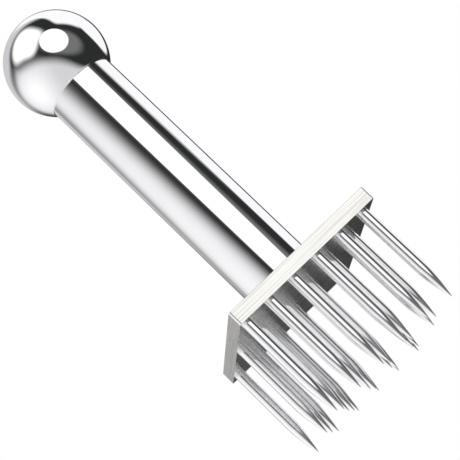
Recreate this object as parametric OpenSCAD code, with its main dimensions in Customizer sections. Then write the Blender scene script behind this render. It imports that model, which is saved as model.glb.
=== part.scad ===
// Needle-type meat mallet: a ball-ended round grip on a rectangular head plate
// that carries five rows of pointed needles. It stands on its needle tips,
// with the grip's axis on +Z and the plate's 56 mm edges along X.

/* [Head plate] */
// Length of the plate's short edges, along X
plate_x = 56; // [54:1:80]
// Length of the plate's long edges, along Y
plate_y = 76; // [74:1:110]
// Thickness of the plate
plate_t = 4.85; // [4:0.05:8]
// Radius of the round on the plate's four upright corner edges
plate_corner_r = 0.8; // [0.3:0.1:3]
// Size of the edge break along the plate's top and underside
plate_edge = 0.1; // [0.05:0.05:0.25]

/* [Needles] */
// Length of a needle below the plate
needle_len = 36.3; // [25:0.1:50]
// Diameter of a needle's straight shank
needle_d = 3.8; // [2.6:0.1:4.2]
// Length of the tapered point
point_len = 12; // [6:0.5:16]
// Diameter of the blunt end of the point
tip_d = 0.3; // [0.1:0.02:0.6]
// Step from needle to needle in a six-needle row
main_step = 9.7; // [8.5:0.1:9.8]
// Distance from the middle row to the front and back rows
main_row_gap = 32.9; // [30:0.1:34]
// Offset of the six-needle rows along X
main_shift = -0.65; // [-1:0.05:1]
// Step from needle to needle in a five-needle row
inner_step = 10.05; // [9:0.05:11]
// Distance of the five-needle rows from their own centre line
inner_row_gap = 18.1; // [17:0.1:19]
// Offset of the five-needle rows along X
inner_shift = -0.05; // [-1:0.05:1]
// Offset of the five-needle rows towards the front
inner_advance = 1.2; // [0:0.1:1.5]

/* [Needle rivets] */
// Diameter of the rivet shank that passes through the plate
rivet_d = 2.4; // [1.8:0.1:2.5]
// Diameter of the riveted head, flush with the top of the plate
rivet_head_d = 3.8; // [3:0.1:4]
// Radial play between a rivet and the plate
rivet_play = 0.02; // [0.01:0.01:0.05]

/* [Grip] */
// Outside diameter of the grip tube
grip_d = 25; // [24:0.5:30]
// Wall thickness of the grip tube
grip_wall = 1.5; // [1:0.1:3]
// Diameter of the ball end
ball_d = 35.6; // [34:0.1:45]
// Height of the ball's centre above the plate's underside
ball_rise = 112.6; // [90:0.1:130]
// How deep the grip tube sits inside the ball
ball_seat_depth = 1.6; // [1:0.1:3]
// Small chamfer on the rims of the tube, the plug and the rod
rim_chamfer = 0.3; // [0.1:0.1:0.5]

/* [Inner parts] */
// Diameter of the tie rod
rod_d = 8; // [6:0.5:10]
// Radial play of the tie rod in its threads and in the bush
thread_play = 0.02; // [0.01:0.01:0.05]
// Radial play of the rod in the top bush
bush_play = 0.2; // [0.1:0.05:0.4]
// Height of the foot plug that is welded to the plate
foot_h = 16; // [10:1:24]
// Depth of the tapped hole in the foot plug
foot_tap_depth = 13; // [8:1:20]
// Height of the bush at the top of the tube
bush_h = 12; // [6:1:20]
// Depth of the tapped hole past the ball's seat
ball_tap_depth = 14; // [8:1:16]
// Radial play of the plug, the bush and the tube in their seats
seat_play = 0.03; // [0.01:0.01:0.1]

/* [Hidden] */
$fn = 96;
steel = "silver";
bright = "gainsboro";
inside = "darkgray";
// A cutting shape runs this far past the face that it cuts.
overlap = 1;

plate_top = needle_len + plate_t;
ball_z = needle_len + ball_rise;
ball_r = ball_d / 2;
grip_r = grip_d / 2;
bore_r = grip_r - grip_wall;
// The tube meets the sphere where the sphere is as wide as the tube.
joint_z = ball_z - sqrt(ball_r * ball_r - grip_r * grip_r);
tube_top = joint_z + ball_seat_depth;
rod_r = rod_d / 2;
rod_bottom = plate_top + foot_h - foot_tap_depth;
rod_top = tube_top + ball_tap_depth;
// A drilled hole runs this far past the end of the rod.
hole_run_out = 1;

needle_r = needle_d / 2;
tip_r = tip_d / 2;
// The ogive's power: 1 is a plain cone, and more is a rounder shoulder.
ogive = 1.55;
// The point is this many short cones.
point_steps = 8;
rivet_r = rivet_d / 2;
rivet_head_r = rivet_head_d / 2;
// The riveted head is a 45 degree countersink.
rivet_head_h = rivet_head_r - rivet_r;

// Rows run from the front (-Y) to the back (+Y). A row is
// [letter, number of needles, step, X of the row's middle, Y].
ROWS = [
    ["a", 6, main_step, main_shift, -main_row_gap],
    ["b", 5, inner_step, inner_shift, -inner_row_gap - inner_advance],
    ["c", 6, main_step, main_shift, 0],
    ["d", 5, inner_step, inner_shift, inner_row_gap - inner_advance],
    ["e", 6, main_step, main_shift, main_row_gap],
];
// Every needle as [name, x, y]
NEEDLES = [
    for (row = ROWS)
        for (i = [1:row[1]])
            [str("needle_", row[0], i), row[3] + (i - (row[1] + 1) / 2) * row[2], row[4]]
];

// A rectangle with four round corners
module round_rectangle(w, h, r) {
    square([w - 2 * r, h], center = true);
    square([w, h - 2 * r], center = true);
    for (x = [-1, 1], y = [-1, 1])
        translate([x * (w / 2 - r), y * (h / 2 - r)]) circle(r);
}

// A rectangle whose four corners are cut at 45 degrees
module cut_rectangle(w, h, c) {
    polygon([
        [-w / 2 + c, -h / 2], [w / 2 - c, -h / 2], [w / 2, -h / 2 + c], [w / 2, h / 2 - c],
        [w / 2 - c, h / 2], [-w / 2 + c, h / 2], [-w / 2, h / 2 - c], [-w / 2, -h / 2 + c]
    ]);
}

// A box centred on the origin, with round upright edges and with an edge
// break along the straight edges of its top and underside
module plate_blank(x, y, z, corner_r, edge) {
    intersection() {
        translate([0, 0, -z / 2]) linear_extrude(z) round_rectangle(x, y, corner_r);
        rotate([90, 0, 0]) translate([0, 0, -y / 2]) linear_extrude(y) cut_rectangle(x, z, edge);
        rotate([90, 0, 90]) translate([0, 0, -x / 2]) linear_extrude(x) cut_rectangle(y, z, edge);
    }
}

// A round bar from z = 0 to z = h with both rims chamfered
module chamfered_bar(r, h, c) {
    rotate_extrude()
        polygon([[0, 0], [r - c, 0], [r, c], [r, h - c], [r - c, h], [0, h]]);
}

// The stepped hole for one needle's rivet, from the underside of the plate up
module rivet_hole() {
    top = plate_t + overlap;
    rotate_extrude()
        polygon([
            [0, -overlap],
            [rivet_r + rivet_play, -overlap],
            [rivet_r + rivet_play, plate_t - rivet_head_h],
            [rivet_head_r + rivet_play, plate_t],
            [rivet_head_r + rivet_play, top],
            [0, top]
        ]);
}

// Steel plate, drilled and countersunk for every needle
module head_plate() {
    color(steel)
        difference() {
            translate([0, 0, needle_len + plate_t / 2])
                plate_blank(plate_x, plate_y, plate_t, plate_corner_r, plate_edge);
            for (n = NEEDLES)
                translate([n[1], n[2], needle_len]) rivet_hole();
        }
}

// Radius of the needle's point, from 0 at the tip to 1 at the shank: an ogive
function point_r(share) = tip_r + (needle_r - tip_r) * (1 - pow(1 - share, ogive));

// One turned needle: an ogive point, a straight shank that stops under the
// plate, and a rivet with a flush head on top
module needle(x, y) {
    point = [for (i = [0:point_steps]) [point_r(i / point_steps), point_len * i / point_steps]];
    upper = [
        [needle_r, needle_len],
        [rivet_r, needle_len],
        [rivet_r, plate_top - rivet_head_h],
        [rivet_head_r, plate_top],
        [0, plate_top]
    ];
    color(bright)
        translate([x, y, 0])
            rotate_extrude()
                polygon(concat([[0, 0]], point, upper));
}

// Polished tube that stands on the plate and ends inside the ball
module handle_tube() {
    h = tube_top - plate_top;
    color(bright)
        translate([0, 0, plate_top])
            difference() {
                chamfered_bar(grip_r, h, rim_chamfer);
                translate([0, 0, -overlap]) cylinder(r = bore_r, h = h + 2 * overlap);
            }
}

// Ball with a seat for the tube and a tapped blind hole for the tie rod
module ball_knob() {
    seat_r = grip_r + seat_play;
    color(bright)
        difference() {
            translate([0, 0, ball_z]) sphere(r = ball_r);
            translate([0, 0, joint_z - ball_r]) cylinder(r = seat_r, h = ball_r + ball_seat_depth);
            translate([0, 0, tube_top - overlap])
                cylinder(r = rod_r + thread_play, h = overlap + ball_tap_depth + hole_run_out);
        }
}

// Turned plug, welded to the plate, that centres the tube and takes the rod
module foot_plug() {
    color(inside)
        translate([0, 0, plate_top])
            difference() {
                chamfered_bar(bore_r - seat_play, foot_h, rim_chamfer);
                translate([0, 0, foot_h - foot_tap_depth - hole_run_out])
                    cylinder(r = rod_r + thread_play, h = foot_tap_depth + hole_run_out + overlap);
            }
}

// Threaded rod that pulls the ball down onto the tube
module tie_rod() {
    color(inside)
        translate([0, 0, rod_bottom]) chamfered_bar(rod_r, rod_top - rod_bottom, rim_chamfer);
}

// Bush that centres the tie rod at the top of the tube
module top_bush() {
    color(inside)
        translate([0, 0, tube_top - bush_h])
            difference() {
                chamfered_bar(bore_r - seat_play, bush_h, rim_chamfer);
                translate([0, 0, -overlap]) cylinder(r = rod_r + bush_play, h = bush_h + 2 * overlap);
            }
}

head_plate();
handle_tube();
ball_knob();
foot_plug();
tie_rod();
top_bush();
for (n = NEEDLES)
    needle(n[1], n[2]);
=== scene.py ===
"""Needle-type meat mallet: brushed head plate, polished needles, grip and ball in a soft white studio."""
import math

import bmesh
import bpy
from mathutils import Matrix, Vector


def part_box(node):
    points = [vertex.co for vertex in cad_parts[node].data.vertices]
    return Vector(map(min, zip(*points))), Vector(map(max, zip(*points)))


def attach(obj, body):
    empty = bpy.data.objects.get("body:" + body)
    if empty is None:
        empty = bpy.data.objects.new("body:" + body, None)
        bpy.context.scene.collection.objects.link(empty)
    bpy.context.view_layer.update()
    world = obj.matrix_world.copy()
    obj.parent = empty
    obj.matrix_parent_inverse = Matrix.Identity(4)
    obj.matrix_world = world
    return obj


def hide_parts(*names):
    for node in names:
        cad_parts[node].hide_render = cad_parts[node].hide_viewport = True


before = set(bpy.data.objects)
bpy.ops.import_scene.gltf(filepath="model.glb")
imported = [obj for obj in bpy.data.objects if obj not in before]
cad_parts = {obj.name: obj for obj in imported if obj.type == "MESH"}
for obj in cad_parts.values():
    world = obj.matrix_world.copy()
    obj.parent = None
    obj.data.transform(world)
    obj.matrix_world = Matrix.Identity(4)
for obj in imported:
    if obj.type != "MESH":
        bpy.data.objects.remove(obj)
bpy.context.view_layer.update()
scene = bpy.context.scene
MM = 0.001
# Radial play of the seats and of the threads, and how far a drilled hole runs past the rod
SEAT_PLAY = 0.03 * MM
THREAD_PLAY = 0.02 * MM
RUN_OUT = 1.0 * MM
# A face counts as square to an axis while its normal's part along that axis rises over this span.
SQUARE_ON = (0.96, 0.99, 0.0, 1.0)


# ---------------------------------------------------------------- helpers

def direction(azimuth, elevation):
    """Unit vector: azimuth 0 is the front (-Y) and 90 is +X, in degrees."""
    a, e = math.radians(azimuth), math.radians(elevation)
    return Vector((math.sin(a) * math.cos(e), -math.cos(a) * math.cos(e), math.sin(e)))


def arc(centre_r, centre_z, radius, start, end, steps):
    """Points (r, z) on an arc, with the angles in degrees from the +r direction."""
    turns = [math.radians(start + (end - start) * i / steps) for i in range(steps + 1)]
    return [(centre_r + radius * math.cos(t), centre_z + radius * math.sin(t)) for t in turns]


def lathe(name, profile, axis_at=(0, 0), segments=96, crease=35):
    """A closed turned piece: profile is a ring of (r, z) points that is spun about a vertical axis."""
    bm = bmesh.new()
    ax, ay = axis_at
    rings = []
    for r, z in profile:
        if r < 1e-9:
            rings.append([bm.verts.new((ax, ay, z))])
            continue
        turns = [2 * math.pi * k / segments for k in range(segments)]
        rings.append([bm.verts.new((ax + r * math.cos(t), ay + r * math.sin(t), z)) for t in turns])
    closed = profile[0][0] > 1e-9
    pairs = list(zip(rings, rings[1:])) + ([(rings[-1], rings[0])] if closed else [])
    for low, high in pairs:
        for k in range(segments):
            n = (k + 1) % segments
            corners = [low[k % len(low)], low[n % len(low)], high[n % len(high)], high[k % len(high)]]
            unique = list(dict.fromkeys(corners))
            if len(unique) > 2:
                bm.faces.new(unique)
    bmesh.ops.recalc_face_normals(bm, faces=bm.faces)
    mesh = bpy.data.meshes.new(name)
    bm.to_mesh(mesh)
    bm.free()
    mesh.shade_smooth()
    mesh.set_sharp_from_angle(angle=math.radians(crease))
    piece = bpy.data.objects.new(name, mesh)
    scene.collection.objects.link(piece)
    return piece


def stand_in(piece, node, material):
    """The piece shows in place of a CAD node."""
    piece.data.materials.append(material)
    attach(piece, "root")
    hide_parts(node)


# ---------------------------------------------------------------- materials

class Nodes:
    """Short calls for making and wiring shader nodes."""

    def __init__(self, tree):
        self.tree = tree
        tree.nodes.clear()

    def add(self, kind, inputs=(), **settings):
        node = self.tree.nodes.new(kind)
        for key, value in settings.items():
            setattr(node, key, value)
        for socket, value in dict(inputs).items():
            self.plug(node, socket, value)
        return node

    def plug(self, node, socket, value):
        if isinstance(value, bpy.types.NodeSocket):
            self.tree.links.new(value, node.inputs[socket])
        else:
            node.inputs[socket].default_value = value

    def math(self, operation, *values, clamp=False):
        node = self.add("ShaderNodeMath", dict(enumerate(values)), operation=operation, use_clamp=clamp)
        return node.outputs[0]

    def ramp(self, value, low, high, to_low, to_high, shape="SMOOTHSTEP"):
        sockets = {"Value": value, "From Min": low, "From Max": high, "To Min": to_low, "To Max": to_high}
        return self.add("ShaderNodeMapRange", sockets, interpolation_type=shape).outputs["Result"]

    def noise(self, vector, scale, detail=4.0, roughness=0.55):
        sockets = {"Vector": vector, "Scale": scale, "Detail": detail, "Roughness": roughness}
        return self.add("ShaderNodeTexNoise", sockets).outputs["Fac"]

    def stretch(self, vector, scale):
        return self.add("ShaderNodeMapping", {"Vector": vector, "Scale": scale}).outputs["Vector"]

    def bump(self, height, strength, distance):
        sockets = {"Height": height, "Strength": strength, "Distance": distance}
        return self.add("ShaderNodeBump", sockets).outputs["Normal"]

    def blend(self, factor, low, high, kind="RGBA"):
        index = {"RGBA": (6, 7, 2), "VECTOR": (4, 5, 1)}[kind]
        node = self.add("ShaderNodeMix", {0: factor, index[0]: low, index[1]: high}, data_type=kind)
        return node.outputs[index[2]]

    def blend_value(self, factor, low, high):
        node = self.add("ShaderNodeMix", {0: factor, 2: low, 3: high}, data_type="FLOAT")
        return node.outputs[0]


def metal(name):
    material = bpy.data.materials.new(name)
    material.use_nodes = True
    nodes = Nodes(material.node_tree)
    shader = nodes.add("ShaderNodeBsdfPrincipled", {"Metallic": 1.0})
    out = nodes.add("ShaderNodeOutputMaterial")
    nodes.tree.links.new(shader.outputs[0], out.inputs[0])
    place = nodes.add("ShaderNodeTexCoord").outputs["Object"]
    return material, nodes, shader, place


def polished_steel(name, tint, roughness, wear, ground_top=None):
    """Mirror-polished steel: faint smudges in its gloss and fine buffing marks round the axis.

    ground_top is the roughness of a flat upper end that was ground, or None where there is none.
    """
    material, nodes, shader, place = metal(name)
    smudge = nodes.noise(place, 90.0)
    buffing = nodes.noise(nodes.stretch(place, (400.0, 400.0, 9000.0)), 1.0, 3.0)
    speck = nodes.noise(place, 1500.0, 2.0)
    gloss = nodes.ramp(smudge, 0.35, 0.75, roughness * 0.6, roughness * 1.5)
    dulled = [0.97 * part for part in tint]
    film = nodes.ramp(smudge, 0.3, 0.8, 0.0, 1.0)
    rough = nodes.math("ADD", gloss, nodes.math("MULTIPLY", speck, wear * 0.02))
    if ground_top is not None:
        facing = nodes.add("ShaderNodeNewGeometry").outputs["Normal"]
        upward = nodes.add("ShaderNodeSeparateXYZ", {0: facing}).outputs["Z"]
        rough = nodes.blend_value(nodes.ramp(upward, *SQUARE_ON), rough, ground_top)
    nodes.plug(shader, "Roughness", rough)
    nodes.plug(shader, "Base Color", nodes.blend(film, (*tint, 1), (*dulled, 1)))
    nodes.plug(shader, "Normal", nodes.bump(buffing, wear, 0.002 * MM))
    return material


def brushed_steel(name):
    """Brushed plate with rubbed bright corners.

    The streaks run along Y on its two long sides, and along X elsewhere.
    """
    material, nodes, shader, place = metal(name)
    facing = nodes.add("ShaderNodeNewGeometry").outputs["Normal"]
    parts = nodes.add("ShaderNodeSeparateXYZ", {0: facing}).outputs
    long_side, short_side, level = [
        nodes.ramp(nodes.math("ABSOLUTE", parts[axis]), *SQUARE_ON) for axis in "XYZ"
    ]
    flat = nodes.math("MAXIMUM", nodes.math("MAXIMUM", long_side, short_side), level)
    along_x = nodes.stretch(place, (22.0, 2400.0, 2400.0))
    along_y = nodes.stretch(place, (2400.0, 60.0, 2400.0))
    grain_place = nodes.blend(long_side, along_x, along_y, "VECTOR")
    lines = nodes.noise(grain_place, 1.0, 4.0, 0.75)
    bands = nodes.noise(nodes.stretch(grain_place, (0.3, 0.22, 0.22)), 1.0, 2.0)
    streak = nodes.math("ADD", nodes.math("MULTIPLY", lines, 0.75), nodes.math("MULTIPLY", bands, 0.25))
    tone = nodes.ramp(streak, 0.40, 0.58, 0.0, 1.0)
    brushed = nodes.blend(tone, (0.74, 0.727, 0.70, 1), (0.95, 0.945, 0.915, 1))
    nodes.plug(shader, "Base Color", nodes.blend(flat, (0.95, 0.95, 0.94, 1), brushed))
    gloss = nodes.blend_value(level, nodes.blend_value(long_side, 0.22, 0.50), 0.27)
    gloss = nodes.math("MULTIPLY", gloss, nodes.ramp(streak, 0.3, 0.7, 1.15, 0.85))
    nodes.plug(shader, "Roughness", nodes.blend_value(flat, 0.06, gloss))
    # The brushed highlight spreads across the streaks.
    across = nodes.blend(level, (0, 0, 1), (0, 1, 0), "VECTOR")
    nodes.plug(shader, "Anisotropic", 0.5)
    nodes.plug(shader, "Tangent", across)
    nodes.plug(shader, "Normal", nodes.bump(nodes.math("MULTIPLY", lines, flat), 0.3, 0.003 * MM))
    return material


def turned_steel(name):
    """Plain turned steel of the parts that the grip hides: tool marks round the axis."""
    material, nodes, shader, place = metal(name)
    marks = nodes.noise(nodes.stretch(place, (60.0, 60.0, 5000.0)), 1.0)
    nodes.plug(shader, "Base Color", nodes.blend(marks, (0.5, 0.5, 0.5, 1), (0.62, 0.62, 0.61, 1)))
    nodes.plug(shader, "Roughness", nodes.ramp(marks, 0.3, 0.7, 0.45, 0.3))
    nodes.plug(shader, "Normal", nodes.bump(marks, 0.3, 0.01 * MM))
    return material


POLISHED = (0.95, 0.95, 0.96)
grip_steel = polished_steel("grip_polished_steel", POLISHED, 0.035, 0.08)
ball_steel = polished_steel("ball_polished_steel", POLISHED, 0.03, 0.05)
needle_steel = polished_steel("needle_polished_steel", (0.95, 0.95, 0.965), 0.02, 0.03, ground_top=0.3)
plate_steel = brushed_steel("plate_brushed_steel")
inner_steel = turned_steel("inner_turned_steel")


# ---------------------------------------------------------------- pieces

def make_grip():
    """Grip tube with rounded rims."""
    low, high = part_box("handle_tube")
    radius = (high.x - low.x) / 2
    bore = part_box("foot_plug")[1].x + SEAT_PLAY
    rim = 0.3 * MM
    # Two rings just inside the rims keep the long wall's shading straight.
    inset = 0.3 * MM
    profile = (
        arc(radius - rim, low.z + rim, rim, -90, 0, 6)
        + [(radius, low.z + rim + inset), (radius, high.z - rim - inset)]
        + arc(radius - rim, high.z - rim, rim, 0, 90, 6)
        + [(bore, high.z), (bore, low.z)]
    )
    stand_in(lathe("grip_tube", profile, segments=192), "handle_tube", grip_steel)


def make_ball():
    """Ball end with a softened lip where the grip enters it, and its tapped hole."""
    low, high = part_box("ball_knob")
    radius = (high.x - low.x) / 2
    centre = high.z - radius
    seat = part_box("handle_tube")[1].x + SEAT_PLAY
    seat_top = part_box("handle_tube")[1].z
    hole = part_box("tie_rod")[1].x + THREAD_PLAY
    hole_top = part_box("tie_rod")[1].z + RUN_OUT
    lip = 0.18 * MM
    # The lip's round touches both the sphere and the wall of the seat.
    lip_r = seat + lip
    lip_z = centre - math.sqrt((radius - lip) ** 2 - lip_r ** 2)
    lip_end = math.degrees(math.atan2(lip_z - centre, lip_r))
    profile = (
        [(0, hole_top), (hole, hole_top), (hole, seat_top), (seat, seat_top)]
        + arc(lip_r, lip_z, lip, 180, 360 + lip_end, 8)
        + arc(0, centre, radius, lip_end, 90, 96)[1:-1]
        + [(0, high.z)]
    )
    stand_in(lathe("ball_end", profile, segments=192), "ball_knob", ball_steel)


def make_needle(node):
    """Needle with an ogive point, a straight shank and its riveted end."""
    low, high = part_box(node)
    at = ((low.x + high.x) / 2, (low.y + high.y) / 2)
    shank = 1.9 * MM
    tip = 0.15 * MM
    tip_flat = tip * 0.7
    tip_round = 0.06 * MM
    point_length = 12 * MM
    # 1 would be a plain cone, and more is a rounder shoulder.
    ogive = 1.55
    steps = 28
    point = []
    for i in range(steps + 1):
        share = i / steps
        radius = tip + (shank - tip) * (1 - (1 - share) ** ogive)
        point.append((radius, low.z + tip_round + (point_length - tip_round) * share))
    plate_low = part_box("head_plate")[0].z
    head = (high.x - low.x) / 2
    rivet = 1.2 * MM
    rim = 0.03 * MM
    rim_inset = 0.1 * MM
    # A second ring further in keeps the flat face's shading flat.
    face_inset = 0.2 * MM
    profile = (
        [(0, low.z), (tip_flat, low.z)]
        + point
        + [
            (shank, plate_low),
            (rivet, plate_low),
            (rivet, high.z - (head - rivet)),
            (head - rim, high.z - rim),
            (head - rim_inset, high.z),
            (head - face_inset, high.z),
            (0, high.z),
        ]
    )
    stand_in(lathe(node + "_turned", profile, at, segments=48), node, needle_steel)


def finish_node(node, material):
    """A CAD node that shows as it is, in a better material."""
    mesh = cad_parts[node].data
    mesh.materials.clear()
    mesh.materials.append(material)


make_grip()
make_ball()
for node in sorted(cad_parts):
    if node.startswith("needle_"):
        make_needle(node)
finish_node("head_plate", plate_steel)
for node in ("foot_plug", "tie_rod", "top_bush"):
    finish_node(node, inner_steel)


# ---------------------------------------------------------------- floor and light

def make_floor():
    """A pale floor under the needle tips. It is one-sided, so a camera below it sees past it."""
    reach = 3.0
    drop = 0.05 * MM
    bpy.ops.mesh.primitive_circle_add(vertices=96, radius=reach, fill_type="NGON")
    floor = bpy.context.object
    floor.name = "floor"
    floor.location.z = -drop
    material = bpy.data.materials.new("pale_floor")
    material.use_nodes = True
    nodes = Nodes(material.node_tree)
    paper = nodes.add("ShaderNodeBsdfDiffuse", {"Color": (0.95, 0.95, 0.95, 1)})
    clear = nodes.add("ShaderNodeBsdfTransparent")
    side = nodes.add("ShaderNodeNewGeometry").outputs["Backfacing"]
    mix = nodes.add("ShaderNodeMixShader", {0: side, 1: paper.outputs[0], 2: clear.outputs[0]})
    nodes.add("ShaderNodeOutputMaterial", {0: mix.outputs[0]})
    floor.data.materials.append(material)
    floor.visible_glossy = False


# The studio that the steel reflects: soft boxes and dark gaps on a sphere round the tool. Each is
# (name, azimuth, elevation, half width, half height, tilt, squareness, softness, colour), in degrees.
# A squareness of 2 is an oval, and a higher one is a box with round corners.
# The numbers began as guesses. A least-squares fit to the reflections that the ball shows in
# the photograph moved most of them. They were then rounded, and some were adjusted one by one.
STUDIO = [
    ("pale_ground", 0, -88, 30, 30, 0, 2, 0.20, (0.60, 0.60, 0.60)),
    ("back_wall", 177, 45, 38, 28, 15, 4.4, 0.25, (0.62, 0.62, 0.64)),
    ("left_fill", -91, -45, 72, 75.5, -8, 2.2, 0.19, (0.69, 0.69, 0.70)),
    ("left_fill_core", -101, -12, 45, 33, -13, 2, 0.95, (1.08, 1.08, 1.085)),
    ("top_box", -42, 62.5, 30, 27, 38, 3.4, 0.28, (1.40, 1.40, 1.40)),
    ("grey_panel", 25, 8, 27, 41, -46, 2.4, 0.27, (0.18, 0.18, 0.18)),
    ("right_wall_high", 113, 44, 36, 20, -11, 6, 0.14, (1.03, 1.03, 1.045)),
    ("right_wall", 112.5, 11, 26, 22, 7, 2, 0.10, (1.01, 1.01, 1.03)),
    ("rim_gap", 154, 9, 17, 29, 0, 2, 0.15, (0.03, 0.03, 0.03)),
    ("key_disc", 16.8, 19.8, 28.2, 28.2, 0, 2, 0.03, (1.10, 1.10, 1.09)),
]
DARK = (0.026, 0.027, 0.027)


def patch_group():
    """Node group: 1 where a direction lies inside a soft box or oval on the sphere, and 0 outside."""
    tree = bpy.data.node_groups.new("soft_box", "ShaderNodeTree")
    for name in ("Direction", "Centre", "Side", "Up"):
        tree.interface.new_socket(name, in_out="INPUT", socket_type="NodeSocketVector")
    for name in ("Half Width", "Half Height", "Squareness", "Softness"):
        tree.interface.new_socket(name, in_out="INPUT", socket_type="NodeSocketFloat")
    tree.interface.new_socket("Mask", in_out="OUTPUT", socket_type="NodeSocketFloat")
    nodes = Nodes(tree)
    given = nodes.add("NodeGroupInput").outputs

    def dot(name):
        pair = {0: given["Direction"], 1: given[name]}
        node = nodes.add("ShaderNodeVectorMath", pair, operation="DOT_PRODUCT")
        return node.outputs["Value"]

    turn = nodes.math("ARCTAN2", dot("Side"), dot("Centre"))
    rise = nodes.math("ARCSINE", dot("Up"))
    across = nodes.math("ABSOLUTE", nodes.math("DIVIDE", turn, given["Half Width"]))
    upward = nodes.math("ABSOLUTE", nodes.math("DIVIDE", rise, given["Half Height"]))
    power = given["Squareness"]
    total = nodes.math("ADD", nodes.math("POWER", across, power), nodes.math("POWER", upward, power))
    reach = nodes.math("POWER", total, nodes.math("DIVIDE", 1.0, power))
    inner = nodes.math("SUBTRACT", 1.0, given["Softness"])
    outer = nodes.math("ADD", 1.0, given["Softness"])
    mask = nodes.ramp(reach, inner, outer, 1.0, 0.0)
    nodes.add("NodeGroupOutput", {0: mask})
    return tree


def make_studio():
    """White for the camera, an even dome for the floor, and the studio boxes for reflections."""
    world = bpy.data.worlds.new("studio")
    scene.world = world
    world.use_nodes = True
    nodes = Nodes(world.node_tree)
    towards = nodes.add("ShaderNodeTexCoord").outputs["Generated"]
    group = patch_group()
    colour = (*DARK, 1)
    for name, azimuth, elevation, half_w, half_h, tilt, squareness, softness, light in STUDIO:
        centre = direction(azimuth, elevation)
        turn = Matrix.Rotation(math.radians(tilt), 3, -centre)
        side = turn @ direction(azimuth + 90, 0)
        up = side.cross(centre)
        patch = nodes.add("ShaderNodeGroup", node_tree=group, label=name)
        values = {"Direction": towards, "Centre": centre, "Side": side, "Up": up,
                  "Half Width": math.radians(half_w), "Half Height": math.radians(half_h),
                  "Squareness": squareness, "Softness": softness}
        for socket, value in values.items():
            nodes.plug(patch, socket, value)
        colour = nodes.blend(patch.outputs["Mask"], colour, (*light, 1))
    ray = nodes.add("ShaderNodeLightPath").outputs
    plain = nodes.math("MAXIMUM", ray["Is Camera Ray"], ray["Is Diffuse Ray"])
    colour = nodes.blend(plain, colour, (1, 1, 1, 1))
    background = nodes.add("ShaderNodeBackground", {"Color": colour})
    nodes.add("ShaderNodeOutputWorld", {0: background.outputs[0]})


make_floor()
make_studio()


# ---------------------------------------------------------------- camera

def make_camera():
    """Looks up at the tool from a little below its needle tips, with the frame turned on its side."""
    data = bpy.data.cameras.new("camera")
    camera = bpy.data.objects.new("camera", data)
    scene.collection.objects.link(camera)
    scene.camera = camera
    # The lens, the place and the roll come from a camera fit to points measured in the photograph.
    data.lens = 114.4
    data.sensor_width = 36.0
    data.clip_start = 0.01
    data.clip_end = 50
    target = Vector((0, 0, 67.3 * MM))
    distance = 468.3 * MM
    back = direction(-14.45, -12.23)
    roll = math.radians(46.11)
    upright = (-back).to_track_quat("-Z", "Y").to_matrix().to_4x4()
    place = Matrix.Translation(target + back * distance)
    turn = Matrix.Rotation(-roll, 4, "Z")
    camera.matrix_world = place @ upright @ turn


make_camera()
scene.view_settings.view_transform = "Standard"
